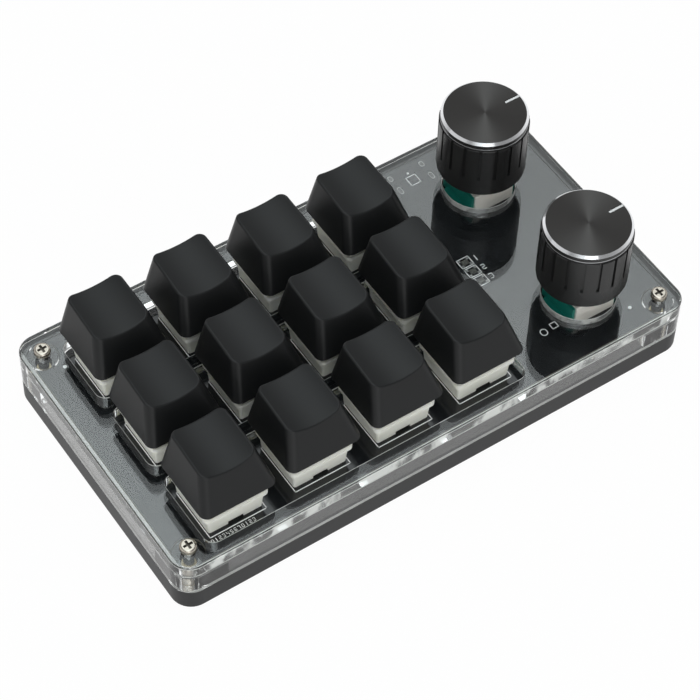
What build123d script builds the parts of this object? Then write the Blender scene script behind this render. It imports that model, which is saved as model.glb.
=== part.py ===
from build123d import *
import os

# Macro keypad: a clear plate over a circuit board, twelve sprung keys and two knobs that turn and push.
# Lengths are in millimetres. +X runs to the right, +Y to the back, +Z up.
# The origin lies under the middle of the plan, at the level where the feet stand.

# Plan: rows of keys on the left, a column of knobs on the right
KEY_PITCH = 21.0
KEY_COLUMNS = 4
KEY_ROWS = 3
SLOT_SIDE_REACH = 9.0
SLOT_BACK_REACH = 8.6
SLOT_BAR = 3.1
FRONT_SLOT_REACH = 11.0
SLOT_CORNER = 2.5
LEFT_WEB = 8.75
RIGHT_WEB = 10.05
FRONT_WEB = 3.25
BACK_WEB = 5.7
KNOB_GAP = 14.45
KNOB_HOLE_RADIUS = 8.55
KNOB_SPACING = 38.1
CORNER_RADIUS = 4.8
SCREW_SIDE_INSET = 4.8
SCREW_FRONT_INSET = 5.3

# Heights of the stacked layers, from the table up
FOOT_HEIGHT = 0.5
BASE_HEIGHT = 5.5
FRAME_HEIGHT = 5.9
PLATE_THICKNESS = 3.0
BOARD_THICKNESS = 1.6
LAYER_GAP = 0.06

# Case pieces
PLATE_EDGE_BREAK = 0.25
BASE_FLOOR = 1.6
BASE_WALL = 2.0
BASE_EDGE_ROUND = 0.25
FRAME_WALL = 1.5
BOARD_GAP = 0.3
CORNER_BLOCK = 11.5
CORNER_BOSS_RADIUS = 3.4
BOSS_GAP = 0.3
FOOT_RADIUS = 4.0
FOOT_INSET = 12.0

# Cover screws and their inserts
SCREW_RADIUS = 1.0
SCREW_GRIP = 3.4
SCREW_HOLE_GAP = 0.2
HEAD_RADIUS = 1.85
HEAD_HEIGHT = 1.2
HEAD_ROUND = 0.55
RECESS_WIDTH = 0.6
RECESS_LENGTH = 2.2
RECESS_DEPTH = 0.7
INSERT_RADIUS = 1.6
INSERT_LENGTH = 3.6
INSERT_GAP = 0.03

# Key switch, heights above the board
SWITCH_FOOT = 13.2
SWITCH_BODY = 13.9
SWITCH_FLANGE = 15.4
SWITCH_FLANGE_CORNER = 1.2
SWITCH_SEAT = 5.0
FLANGE_THICKNESS = 1.1
FLANGE_BREAK = 0.35
HOUSING_HEIGHT = 5.5
HOUSING_FOOT = 14.0
HOUSING_TOP_WIDTH = 10.6
HOUSING_TOP_DEPTH = 9.2
HOUSING_TOP_SHIFT = 0.9
HOUSING_CORNER = 0.6
HOUSING_ROOF = 1.2
HOUSING_FLOOR = 1.6
CAVITY_WIDTH = 10.4
CAVITY_DEPTH = 7.0
LIGHT_WINDOW_WIDTH = 5.6
LIGHT_WINDOW_DEPTH = 1.6
LIGHT_WINDOW_HEIGHT = 1.3
FOOT_NOTCH_WIDTH = 3.8
FOOT_NOTCH_HEIGHT = 0.9
PEG_RADIUS = 1.95
PEG_LENGTH = 2.7
PEG_FLOOR = 0.7
PEG_GAP = 0.1
PIN_RADIUS = 0.5
PIN_LENGTH = 2.8
PIN_GAP = 0.06
PIN_HOLE_GAP = 0.25
FIRST_PIN = (-3.81, 2.54)
SECOND_PIN = (2.54, 5.08)
LIGHT_WIDTH = 3.2
LIGHT_DEPTH = 2.8
LIGHT_WING = 1.1
LIGHT_WING_THICKNESS = 0.4
LIGHT_REACH = 4.7
LIGHT_GAP = 0.1

# Key stem and spring
KEY_TRAVEL = 3.8
STEM_WIDTH = 6.8
STEM_DEPTH = 5.8
STEM_GAP = 0.2
STEM_EAR = 1.2
STEM_EAR_HEIGHT = 1.2
STEM_EAR_GAP = 0.05
STEM_CLEARANCE = 0.4
STEM_CROWN = 1.6
CROSS_LENGTH = 4.0
CROSS_ARM_X = 1.3
CROSS_ARM_Y = 1.1
CROSS_HEIGHT = 3.6
POLE_RADIUS = 1.15
POLE_REACH = 2.8
POLE_GAP = 0.25
SPRING_INNER_RADIUS = 1.5
SPRING_WALL = 0.5
SPRING_GAP = 0.3

# Key cap, heights above its rim
CAP_RIM = 18.1
CAP_CORNER = 2.0
CAP_SIDE_TAPER = 0.283
CAP_FRONT_TAPER = 0.524
CAP_BACK_TAPER = 0.055
CAP_MIDDLE_HEIGHT = 7.6
DISH_RADIUS = 20.0
DISH_TILT = 4.05
DISH_EDGE_ROUND = 0.45
CAP_WALL = 1.1
CAP_RIM_WALL = 1.1
CAP_RIM_LAND = 0.95
CAP_ROOF = 1.1
CAP_CAVITY_CORNER = 1.0
SOCKET_RADIUS = 2.7
SOCKET_RECESS = 2.35
CROSS_GAP = 0.04

# Rotary encoder, heights above the board
ENCODER_LENGTH = 12.0
ENCODER_DEPTH = 10.8
ENCODER_HEIGHT = 5.5
ENCODER_LEDGE_LENGTH = 14.8
ENCODER_LEDGE_DEPTH = 7.0
ENCODER_LEDGE_HEIGHT = 1.2
BRACKET_LENGTH = 10.6
BRACKET_SHEET = 0.45
BRACKET_GAP = 0.05
ROTOR_RADIUS = 4.2
ROTOR_THICKNESS = 2.6
ROTOR_GAP = 0.3
ROTOR_SEAT_GAP = 0.1
SHAFT_WELL_RADIUS = 2.6
SHAFT_WELL_FLOOR = 1.2
SHAFT_RADIUS = 3.0
SHAFT_FLAT = 1.5
SHAFT_GAP = 0.05
TANG_RADIUS = 2.0
TANG_FLAT = 1.4
SHAFT_SHOULDER_GAP = 0.6
PUSH_TRAVEL = 0.5
BUSHING_RADIUS = 3.5
BUSHING_HEIGHT = 5.0
BUSHING_FLANGE_RADIUS = 4.6
BUSHING_FLANGE_THICKNESS = 0.6
ENCODER_PIN_RADIUS = 0.4
ENCODER_PIN_REACH = 6.9
ENCODER_PIN_PITCH = 2.5

# Knob, heights above its underside
KNOB_LIFT = 9.3
KNOB_RADIUS = 10.15
KNOB_HEIGHT = 16.6
KNOB_RIM_RADIUS = 9.85
KNOB_FACE_RADIUS = 9.3
KNOB_RIM_BAND = 1.55
KNOB_LEDGE = 0.1
LEDGE_BREAK = 0.15
KNOB_FOOT_BREAK = 0.4
GROOVE_COUNT = 18
GROOVE_START = 10.0
GROOVE_WIDTH = 0.7
GROOVE_DEPTH = 0.5
GROOVE_LENGTH = 9.4
KNOB_RECESS_RADIUS = 5.6
KNOB_RECESS_DEPTH = 4.5
KNOB_ROOF = 2.2
POINTER_WIDTH = 0.7
POINTER_INNER_RADIUS = 5.5
POINTER_DEPTH = 0.2

# Lead socket and parts under the board
SOCKET_WIDTH = 9.0
SOCKET_DEPTH = 8.8
SOCKET_HEIGHT = 3.2
SOCKET_ROUND = 1.05
SOCKET_SHEET = 0.35
SOCKET_TONGUE = 0.7
TONGUE_SIDE_GAP = 1.6
SOCKET_SETBACK = 1.85
SOCKET_PORT_GAP = 0.25
SOCKET_TO_KNOB = 11.575
TAB_BACK_LENGTH = 0.9
TAB_FRONT_LENGTH = 1.4
TAB_BACK_REACH = 3.8
TAB_FRONT_REACH = 7.9
TAB_GAP = 0.15
CHIP_WIDTH = 7.0
CHIP_SHIFT = 14.0
CHIP_THICKNESS = 1.4
LEAD_REACH = 1.0
LEAD_THICKNESS = 0.25
INDICATOR_COUNT = 3
INDICATOR_TO_KNOB = 15.775
INDICATOR_PITCH = 3.05
INDICATOR_SHIFT = -1.0
INDICATOR_WIDTH = 1.5
INDICATOR_DEPTH = 1.3
DIODE_LENGTH = 2.7
DIODE_WIDTH = 1.6
DIODE_THICKNESS = 1.1
DIODE_BREAK = 0.22
DIODE_SIDE_REACH = 7.6
DIODE_FRONT_REACH = 3.0

# Places that follow from the sizes above
KEY_SPAN = (KEY_COLUMNS - 1) * KEY_PITCH
ROW_SPAN = (KEY_ROWS - 1) * KEY_PITCH
SLOT_LENGTH = KEY_SPAN + 2 * SLOT_SIDE_REACH
SLOT_FRONT_REACH = KEY_PITCH - SLOT_BAR - SLOT_BACK_REACH
PLATE_LENGTH = LEFT_WEB + SLOT_LENGTH + KNOB_GAP + 2 * KNOB_HOLE_RADIUS + RIGHT_WEB
PLATE_DEPTH = FRONT_WEB + FRONT_SLOT_REACH + ROW_SPAN + SLOT_BACK_REACH + BACK_WEB
FIRST_COLUMN_X = LEFT_WEB + SLOT_SIDE_REACH - PLATE_LENGTH / 2
BACK_ROW_Y = PLATE_DEPTH / 2 - BACK_WEB - SLOT_BACK_REACH
KNOB_X = PLATE_LENGTH / 2 - RIGHT_WEB - KNOB_HOLE_RADIUS
SOCKET_X = KNOB_X - SOCKET_TO_KNOB
TAB_X = (SOCKET_WIDTH - SOCKET_SHEET) / 2
INDICATOR_X = KNOB_X - INDICATOR_TO_KNOB
BASE_BOTTOM = FOOT_HEIGHT
BASE_TOP = BASE_BOTTOM + BASE_HEIGHT
FRAME_BOTTOM = BASE_TOP + LAYER_GAP
FRAME_TOP = FRAME_BOTTOM + FRAME_HEIGHT
BOARD_TOP = FRAME_TOP - LAYER_GAP
BOARD_BOTTOM = BOARD_TOP - BOARD_THICKNESS
PLATE_BOTTOM = FRAME_TOP + LAYER_GAP
PLATE_TOP = PLATE_BOTTOM + PLATE_THICKNESS
FLANGE_TOP = SWITCH_SEAT + FLANGE_THICKNESS
HOUSING_TOP = FLANGE_TOP + HOUSING_HEIGHT
CAP_RIM_LEVEL = HOUSING_TOP - SOCKET_RECESS
CAP_CEILING = CAP_MIDDLE_HEIGHT - CAP_ROOF
BRACKET_TOP = ENCODER_HEIGHT + BRACKET_SHEET
BUSHING_TOP = BRACKET_TOP + BUSHING_FLANGE_THICKNESS + BUSHING_HEIGHT
SHAFT_TOP = KNOB_LIFT + KNOB_HEIGHT - KNOB_ROOF
BRACKET_HOLE_RADIUS = SHAFT_RADIUS + ROTOR_GAP
SCREW_HOLE_RADIUS = SCREW_RADIUS + SCREW_HOLE_GAP
STANDING = (Align.CENTER, Align.CENTER, Align.MIN)
TO_FRONT = (Align.CENTER, Align.MAX, Align.MIN)
TO_BACK = (Align.CENTER, Align.MIN, Align.MIN)
TO_RIGHT = (Align.MIN, Align.CENTER, Align.MIN)
HANGING = (Align.CENTER, Align.CENTER, Align.MAX)


def slab(length, depth, corner, low, high):
    """Upright slab with rounded corners, centred on the Z axis."""
    outline = Pos(0, 0, low) * RectangleRounded(length, depth, corner)
    return extrude(outline, amount=high - low)


def block(length, depth, low, high):
    """Upright square-cornered block, centred on the Z axis."""
    return Pos(0, 0, low) * Box(length, depth, high - low, align=STANDING)


def post(radius, low, high):
    """Upright round post on the Z axis."""
    return Pos(0, 0, low) * Cylinder(radius, high - low, align=STANDING)


def d_post(radius, flat, low, high):
    """Upright round post with one flat side towards +X."""
    side = Box(radius, 2 * radius, high - low, align=TO_RIGHT)
    return post(radius, low, high) - Pos(flat, 0, low) * side


def tang_post(radius, flat, low, high):
    """Upright round post with a flat on each side along X."""
    return post(radius, low, high) & block(2 * flat, 2 * radius, low, high)


def key_places():
    """Centres of the keys on the plan, row by row from the back left."""
    places = []
    for row in range(KEY_ROWS):
        for column in range(KEY_COLUMNS):
            places.append((FIRST_COLUMN_X + column * KEY_PITCH, BACK_ROW_Y - row * KEY_PITCH))
    return places


def indicator_places():
    """Centres of the indicator lights on the plan, back one first."""
    middle = (INDICATOR_COUNT - 1) / 2
    levels = [INDICATOR_SHIFT + (middle - step) * INDICATOR_PITCH for step in range(INDICATOR_COUNT)]
    return [(INDICATOR_X, y) for y in levels]


def tab_rows():
    """Distance from the back edge and length of the socket's two rows of tabs."""
    return [(TAB_BACK_REACH, TAB_BACK_LENGTH), (TAB_FRONT_REACH, TAB_FRONT_LENGTH)]


def knob_places():
    """Centres of the knobs on the plan, back one first."""
    return [(KNOB_X, KNOB_SPACING / 2), (KNOB_X, -KNOB_SPACING / 2)]


def corner_places(side_inset, front_inset):
    """Points at the four corners of the plan, inset from its sides and from its front and back."""
    x = PLATE_LENGTH / 2 - side_inset
    y = PLATE_DEPTH / 2 - front_inset
    return [(-x, -y), (x, -y), (x, y), (-x, y)]


def screw_places():
    """Centres of the cover screws on the plan."""
    return corner_places(SCREW_SIDE_INSET, SCREW_FRONT_INSET)


def cut_at(shape, tool, places, level=0):
    """Shape with the tool cut out of it at every place."""
    return shape - [Pos(x, y, level) * tool for x, y in places]


def copies(shape, places, level=0):
    """Separate copies of a shape at the places, as one group."""
    return Compound(children=[Pos(x, y, level) * shape for x, y in places])


def top_plate():
    plate = slab(PLATE_LENGTH, PLATE_DEPTH, CORNER_RADIUS, PLATE_BOTTOM, PLATE_TOP)
    levels = plate.edges().group_by(Axis.Z)
    plate = chamfer(levels[0] + levels[-1], PLATE_EDGE_BREAK)
    slot_x = FIRST_COLUMN_X + KEY_SPAN / 2
    for row in range(KEY_ROWS):
        front_reach = FRONT_SLOT_REACH if row == KEY_ROWS - 1 else SLOT_FRONT_REACH
        depth = front_reach + SLOT_BACK_REACH
        slot_y = BACK_ROW_Y - row * KEY_PITCH + (SLOT_BACK_REACH - front_reach) / 2
        plate -= Pos(slot_x, slot_y) * slab(SLOT_LENGTH, depth, SLOT_CORNER, PLATE_BOTTOM, PLATE_TOP)
    plate = cut_at(plate, post(KNOB_HOLE_RADIUS, PLATE_BOTTOM, PLATE_TOP), knob_places())
    return cut_at(plate, post(SCREW_HOLE_RADIUS, PLATE_BOTTOM, PLATE_TOP), screw_places())


def corner_blocks(low, high):
    """Square blocks in the four corners, trimmed to the rounded plan."""
    plan = slab(PLATE_LENGTH, PLATE_DEPTH, CORNER_RADIUS, low, high)
    corner = block(CORNER_BLOCK, CORNER_BLOCK, low, high)
    return [plan & Pos(x, y) * corner for x, y in corner_places(CORNER_BLOCK / 2, CORNER_BLOCK / 2)]


def clear_frame():
    inner_corner = CORNER_RADIUS - FRAME_WALL
    frame = slab(PLATE_LENGTH, PLATE_DEPTH, CORNER_RADIUS, FRAME_BOTTOM, FRAME_TOP)
    inner_length = PLATE_LENGTH - 2 * FRAME_WALL
    inner_depth = PLATE_DEPTH - 2 * FRAME_WALL
    frame -= slab(inner_length, inner_depth, inner_corner, FRAME_BOTTOM, FRAME_TOP)
    frame = frame + corner_blocks(FRAME_BOTTOM, BOARD_BOTTOM - LAYER_GAP)
    boss = post(CORNER_BOSS_RADIUS, FRAME_BOTTOM, FRAME_TOP)
    frame = frame + [Pos(x, y) * boss for x, y in screw_places()]
    port_low = BOARD_BOTTOM - SOCKET_HEIGHT - SOCKET_PORT_GAP
    port_depth = 2 * (FRAME_WALL + SOCKET_PORT_GAP)
    port = block(SOCKET_WIDTH + 2 * SOCKET_PORT_GAP, port_depth, port_low, BOARD_BOTTOM + SOCKET_PORT_GAP)
    frame -= Pos(SOCKET_X, PLATE_DEPTH / 2) * port
    return cut_at(frame, post(SCREW_HOLE_RADIUS, FRAME_BOTTOM, FRAME_TOP), screw_places())


def base_shell():
    inner_corner = CORNER_RADIUS - BASE_WALL
    shell = slab(PLATE_LENGTH, PLATE_DEPTH, CORNER_RADIUS, BASE_BOTTOM, BASE_TOP)
    shell = fillet(shell.edges().group_by(Axis.Z)[0], BASE_EDGE_ROUND)
    floor_top = BASE_BOTTOM + BASE_FLOOR
    inner_length = PLATE_LENGTH - 2 * BASE_WALL
    inner_depth = PLATE_DEPTH - 2 * BASE_WALL
    shell -= slab(inner_length, inner_depth, inner_corner, floor_top, BASE_TOP)
    shell = shell + corner_blocks(floor_top, BASE_TOP)
    hole = post(INSERT_RADIUS + INSERT_GAP, BASE_TOP - INSERT_LENGTH, BASE_TOP)
    return cut_at(shell, hole, screw_places())


def rubber_feet():
    foot = post(FOOT_RADIUS, 0, FOOT_HEIGHT)
    return copies(foot, corner_places(FOOT_INSET, FOOT_INSET))


def cover_screws():
    shank_end = BASE_TOP - SCREW_GRIP
    head = post(HEAD_RADIUS, PLATE_TOP, PLATE_TOP + HEAD_HEIGHT)
    head = fillet(head.edges().group_by(Axis.Z)[-1], HEAD_ROUND)
    recess_floor = PLATE_TOP + HEAD_HEIGHT - RECESS_DEPTH
    head -= block(RECESS_LENGTH, RECESS_WIDTH, recess_floor, PLATE_TOP + HEAD_HEIGHT)
    head -= block(RECESS_WIDTH, RECESS_LENGTH, recess_floor, PLATE_TOP + HEAD_HEIGHT)
    screw = head + post(SCREW_RADIUS, shank_end, PLATE_TOP)
    return copies(screw, screw_places())


def threaded_inserts():
    low = BASE_TOP - INSERT_LENGTH
    insert = post(INSERT_RADIUS, low, BASE_TOP) - post(SCREW_RADIUS + INSERT_GAP, low, BASE_TOP)
    return copies(insert, screw_places())


def encoder_pin_places():
    """Pins of one encoder about its own axis: three on the left side, two on the right."""
    left = [(-ENCODER_PIN_REACH, step * ENCODER_PIN_PITCH) for step in (-1, 0, 1)]
    right = [(ENCODER_PIN_REACH, step * ENCODER_PIN_PITCH) for step in (-1, 1)]
    return left + right


def circuit_board():
    inset = FRAME_WALL + BOARD_GAP
    corner = CORNER_RADIUS - inset
    board = slab(PLATE_LENGTH - 2 * inset, PLATE_DEPTH - 2 * inset, corner, BOARD_BOTTOM, BOARD_TOP)
    notch = post(CORNER_BOSS_RADIUS + BOSS_GAP, BOARD_BOTTOM, BOARD_TOP)
    board = cut_at(board, notch, screw_places())
    board = cut_at(board, post(PEG_RADIUS + PEG_GAP, BOARD_BOTTOM, BOARD_TOP), key_places())
    pin_hole = post(PIN_RADIUS + PIN_HOLE_GAP, BOARD_BOTTOM, BOARD_TOP)
    light_hole = block(LIGHT_WIDTH + 2 * LIGHT_GAP, LIGHT_DEPTH + 2 * LIGHT_GAP, BOARD_BOTTOM, BOARD_TOP)
    for x, y in key_places():
        board -= Pos(x + FIRST_PIN[0], y + FIRST_PIN[1]) * pin_hole
        board -= Pos(x + SECOND_PIN[0], y + SECOND_PIN[1]) * pin_hole
        board -= Pos(x, y - LIGHT_REACH) * light_hole
    encoder_hole = post(ENCODER_PIN_RADIUS + PIN_HOLE_GAP, BOARD_BOTTOM, BOARD_TOP)
    for x, y in knob_places():
        board -= [Pos(x + dx, y + dy) * encoder_hole for dx, dy in encoder_pin_places()]
    for reach, length in tab_rows():
        tab_hole = block(SOCKET_SHEET + 2 * TAB_GAP, length + 2 * TAB_GAP, BOARD_BOTTOM, BOARD_TOP)
        for side in (-1, 1):
            board -= Pos(SOCKET_X + side * TAB_X, PLATE_DEPTH / 2 - reach) * tab_hole
    window_width = INDICATOR_WIDTH + 2 * LIGHT_GAP
    window_depth = INDICATOR_DEPTH + 2 * LIGHT_GAP
    return cut_at(board, block(window_width, window_depth, BOARD_BOTTOM, BOARD_TOP), indicator_places())


def lead_socket():
    """Metal shell with a tongue inside, fixed under the back edge of the board."""
    low = BOARD_BOTTOM - SOCKET_HEIGHT
    mouth_y = PLATE_DEPTH / 2 - SOCKET_SETBACK
    shell = Pos(0, 0, low) * Box(SOCKET_WIDTH, SOCKET_DEPTH, SOCKET_HEIGHT, align=TO_FRONT)
    shell = fillet(shell.edges().filter_by(Axis.Y), SOCKET_ROUND)
    inner_height = SOCKET_HEIGHT - 2 * SOCKET_SHEET
    inner_width = SOCKET_WIDTH - 2 * SOCKET_SHEET
    hollow = Box(inner_width, SOCKET_DEPTH - SOCKET_SHEET, inner_height, align=TO_FRONT)
    hollow = fillet(hollow.edges().filter_by(Axis.Y), SOCKET_ROUND - SOCKET_SHEET)
    shell -= Pos(0, 0, low + SOCKET_SHEET) * hollow
    tongue_low = low + (SOCKET_HEIGHT - SOCKET_TONGUE) / 2
    tongue_width = SOCKET_WIDTH - 2 * TONGUE_SIDE_GAP
    tongue = Box(tongue_width, SOCKET_DEPTH - SOCKET_TONGUE, SOCKET_TONGUE, align=TO_BACK)
    shell += Pos(0, -SOCKET_DEPTH, tongue_low) * tongue
    for side in (-1, 1):
        for reach, length in tab_rows():
            tab = block(SOCKET_SHEET, length, low + SOCKET_ROUND, BOARD_TOP)
            shell += Pos(side * TAB_X, SOCKET_SETBACK - reach) * tab
    return Pos(SOCKET_X, mouth_y) * shell


def controller_chip():
    """Square chip under the board, between the keys and the knobs, with a row of leads on each side."""
    low = BOARD_BOTTOM - CHIP_THICKNESS
    span = CHIP_WIDTH + 2 * LEAD_REACH
    body = block(CHIP_WIDTH, CHIP_WIDTH, low, BOARD_BOTTOM)
    leads = block(span, CHIP_WIDTH - LEAD_REACH, BOARD_BOTTOM - LEAD_THICKNESS, BOARD_BOTTOM)
    leads += block(CHIP_WIDTH - LEAD_REACH, span, BOARD_BOTTOM - LEAD_THICKNESS, BOARD_BOTTOM)
    return Pos(INDICATOR_X, CHIP_SHIFT) * (body + leads)


def matrix_diodes():
    diode = block(DIODE_WIDTH, DIODE_LENGTH, BOARD_BOTTOM - DIODE_THICKNESS, BOARD_BOTTOM)
    diode = chamfer(diode.edges().group_by(Axis.Z)[0], DIODE_BREAK)
    return copies(diode, [(x + DIODE_SIDE_REACH, y - DIODE_FRONT_REACH) for x, y in key_places()])


def set_in_light(width, depth):
    """Light that fills a window in the board, held by wings under it."""
    wing_low = BOARD_BOTTOM - LIGHT_WING_THICKNESS
    light = block(width, depth, BOARD_BOTTOM, BOARD_TOP)
    return light + block(width + 2 * LIGHT_WING, depth, wing_low, BOARD_BOTTOM)


def key_lights():
    """One light in front of the middle of each key."""
    light = set_in_light(LIGHT_WIDTH, LIGHT_DEPTH)
    return copies(light, [(x, y - LIGHT_REACH) for x, y in key_places()])


def indicator_lights():
    return copies(set_in_light(INDICATOR_WIDTH, INDICATOR_DEPTH), indicator_places())


def switch_lower_housing():
    """Tray of a switch with its flange and the peg that goes through the board."""
    foot = RectangleRounded(SWITCH_FOOT, SWITCH_FOOT, HOUSING_CORNER)
    shoulder = Pos(0, 0, SWITCH_SEAT) * RectangleRounded(SWITCH_BODY, SWITCH_BODY, HOUSING_CORNER)
    housing = loft([foot, shoulder], ruled=True)
    flange = slab(SWITCH_FLANGE, SWITCH_FLANGE, SWITCH_FLANGE_CORNER, SWITCH_SEAT, FLANGE_TOP)
    housing += chamfer(flange.edges().group_by(Axis.Z)[-1], FLANGE_BREAK)
    housing -= block(CAVITY_WIDTH, CAVITY_DEPTH, HOUSING_FLOOR, FLANGE_TOP)
    housing += post(PEG_RADIUS, -PEG_LENGTH, HOUSING_FLOOR)
    housing -= post(POLE_RADIUS + POLE_GAP, PEG_FLOOR - PEG_LENGTH, HOUSING_FLOOR)
    notch = Box(FOOT_NOTCH_WIDTH, SWITCH_FLANGE / 2, FOOT_NOTCH_HEIGHT, align=TO_FRONT)
    housing -= Pos(0, (CAVITY_DEPTH - SWITCH_FLANGE) / 2) * notch
    pin_hole = post(PIN_RADIUS + PIN_GAP, 0, HOUSING_FLOOR)
    return cut_at(housing, pin_hole, [FIRST_PIN, SECOND_PIN])


def switch_upper_housing():
    """Hood of a switch: sloped sides, a hole in the roof for the stem and a window for the light."""
    foot = Pos(0, 0, FLANGE_TOP) * RectangleRounded(HOUSING_FOOT, HOUSING_FOOT, HOUSING_CORNER)
    roof = RectangleRounded(HOUSING_TOP_WIDTH, HOUSING_TOP_DEPTH, HOUSING_CORNER)
    hood = loft([foot, Pos(0, HOUSING_TOP_SHIFT, HOUSING_TOP) * roof], ruled=True)
    hood -= block(CAVITY_WIDTH, CAVITY_DEPTH, FLANGE_TOP, HOUSING_TOP - HOUSING_ROOF)
    hood -= block(STEM_WIDTH + 2 * STEM_GAP, STEM_DEPTH + 2 * STEM_GAP, FLANGE_TOP, HOUSING_TOP)
    window = block(LIGHT_WINDOW_WIDTH, LIGHT_WINDOW_DEPTH, FLANGE_TOP, FLANGE_TOP + LIGHT_WINDOW_HEIGHT)
    return hood - Pos(0, (LIGHT_WINDOW_DEPTH - HOUSING_FOOT) / 2) * window


def contact_pins():
    """Pins of the switches and of the encoders, which go through the board."""
    switch_pin = post(PIN_RADIUS, BOARD_TOP - PIN_LENGTH, BOARD_TOP + HOUSING_FLOOR)
    encoder_pin = post(ENCODER_PIN_RADIUS, BOARD_TOP - PIN_LENGTH, BOARD_TOP)
    pins = []
    for x, y in key_places():
        pins.append(Pos(x + FIRST_PIN[0], y + FIRST_PIN[1]) * switch_pin)
        pins.append(Pos(x + SECOND_PIN[0], y + SECOND_PIN[1]) * switch_pin)
    for x, y in knob_places():
        pins += [Pos(x + dx, y + dy) * encoder_pin for dx, dy in encoder_pin_places()]
    return Compound(children=pins)


def key_stem():
    """Slider with ears that stop it under the roof, a pole inside the spring and a cross for the cap."""
    slider_low = HOUSING_FLOOR + KEY_TRAVEL + STEM_CLEARANCE
    ear_high = HOUSING_TOP - HOUSING_ROOF - STEM_EAR_GAP
    stem = block(STEM_WIDTH, STEM_DEPTH, slider_low, HOUSING_TOP)
    stem += block(STEM_WIDTH + 2 * STEM_EAR, STEM_DEPTH, ear_high - STEM_EAR_HEIGHT, ear_high)
    well_radius = SPRING_INNER_RADIUS + SPRING_WALL + SPRING_GAP
    stem -= post(well_radius, slider_low, HOUSING_TOP - STEM_CROWN)
    stem += post(POLE_RADIUS, POLE_REACH, HOUSING_TOP - STEM_CROWN)
    return stem + cross(0, HOUSING_TOP, HOUSING_TOP + CROSS_HEIGHT)


def cross(gap, low, high):
    """Upright cross, larger by the gap on every side."""
    along_x = block(CROSS_LENGTH + 2 * gap, CROSS_ARM_X + 2 * gap, low, high)
    return along_x + block(CROSS_ARM_Y + 2 * gap, CROSS_LENGTH + 2 * gap, low, high)


def key_spring():
    """Return spring as the sleeve that its coils fill."""
    low = HOUSING_FLOOR
    high = HOUSING_TOP - STEM_CROWN
    return post(SPRING_INNER_RADIUS + SPRING_WALL, low, high) - post(SPRING_INNER_RADIUS, low, high)


def cap_section(level, inset, corner):
    """Outline of the tapered cap at a level above its rim, drawn in by the inset."""
    half_rim = CAP_RIM / 2
    side = half_rim - CAP_SIDE_TAPER * level - inset
    front = half_rim - CAP_FRONT_TAPER * level - inset
    back = half_rim - CAP_BACK_TAPER * level - inset
    outline = RectangleRounded(2 * side, front + back, corner)
    return Pos(0, (back - front) / 2, level) * outline


def key_cap():
    """Hollow sculpted cap with a dished top and a socket for the stem's cross."""
    half_rim = CAP_RIM / 2
    blank_top = CAP_MIDDLE_HEIGHT + half_rim * half_rim / DISH_RADIUS
    cap = loft([cap_section(0, 0, CAP_CORNER), cap_section(blank_top, 0, CAP_CORNER)], ruled=True)
    dish = Cylinder(DISH_RADIUS, 2 * CAP_RIM)
    cap -= Pos(0, 0, CAP_MIDDLE_HEIGHT) * Rot(DISH_TILT - 90, 0, 0) * Pos(0, -DISH_RADIUS, 0) * dish
    dish_face = cap.faces().filter_by(GeomType.CYLINDER).sort_by(SortBy.AREA)[-1]
    cap = fillet(dish_face.edges(), DISH_EDGE_ROUND)
    land = CAP_RIM - 2 * CAP_RIM_WALL
    land_outline = Pos(0, 0, CAP_RIM_LAND) * RectangleRounded(land, land, CAP_CAVITY_CORNER)
    cavity = loft([land_outline, cap_section(CAP_CEILING, CAP_WALL, CAP_CAVITY_CORNER)], ruled=True)
    cavity += slab(land, land, CAP_CAVITY_CORNER, 0, CAP_RIM_LAND)
    cavity -= post(SOCKET_RADIUS, SOCKET_RECESS, CAP_CEILING)
    return cap - cavity - cross(CROSS_GAP, SOCKET_RECESS, CAP_CEILING)


def encoder_base():
    """Plastic body with a ledge for the pins, a seat for the rotor and a well for the shaft's end."""
    body = block(ENCODER_LENGTH, ENCODER_DEPTH, 0, ENCODER_HEIGHT)
    body += block(ENCODER_LEDGE_LENGTH, ENCODER_LEDGE_DEPTH, 0, ENCODER_LEDGE_HEIGHT)
    rotor_seat = ENCODER_HEIGHT - ROTOR_GAP - ROTOR_THICKNESS - ROTOR_SEAT_GAP
    body -= post(ROTOR_RADIUS + ROTOR_GAP, rotor_seat, ENCODER_HEIGHT)
    return body - post(SHAFT_WELL_RADIUS, SHAFT_WELL_FLOOR, ENCODER_HEIGHT)


def encoder_bracket():
    """Bent steel sheet over the body, down its front and back."""
    leg_y = (ENCODER_DEPTH + BRACKET_SHEET) / 2 + BRACKET_GAP
    span = ENCODER_DEPTH + 2 * BRACKET_GAP + 2 * BRACKET_SHEET
    bracket = block(BRACKET_LENGTH, span, ENCODER_HEIGHT, BRACKET_TOP)
    for side in (-1, 1):
        bracket += Pos(0, side * leg_y) * block(BRACKET_LENGTH, BRACKET_SHEET, 0, ENCODER_HEIGHT)
    bend = bracket.edges().filter_by(Axis.X).group_by(Axis.Z)[-1]
    return fillet(bend, BRACKET_SHEET) - post(BRACKET_HOLE_RADIUS, ENCODER_HEIGHT, BRACKET_TOP)


def encoder_bushing():
    flange_top = BRACKET_TOP + BUSHING_FLANGE_THICKNESS
    bushing = post(BUSHING_FLANGE_RADIUS, BRACKET_TOP, flange_top)
    bushing += post(BUSHING_RADIUS, flange_top, BUSHING_TOP)
    return bushing - post(SHAFT_RADIUS + SHAFT_GAP, BRACKET_TOP, BUSHING_TOP)


def encoder_rotor():
    """Disc that turns with the shaft and lets it slide."""
    high = ENCODER_HEIGHT - ROTOR_GAP
    low = high - ROTOR_THICKNESS
    hole = tang_post(TANG_RADIUS + SHAFT_GAP, TANG_FLAT + SHAFT_GAP, low, high)
    return post(ROTOR_RADIUS, low, high) - hole


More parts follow.
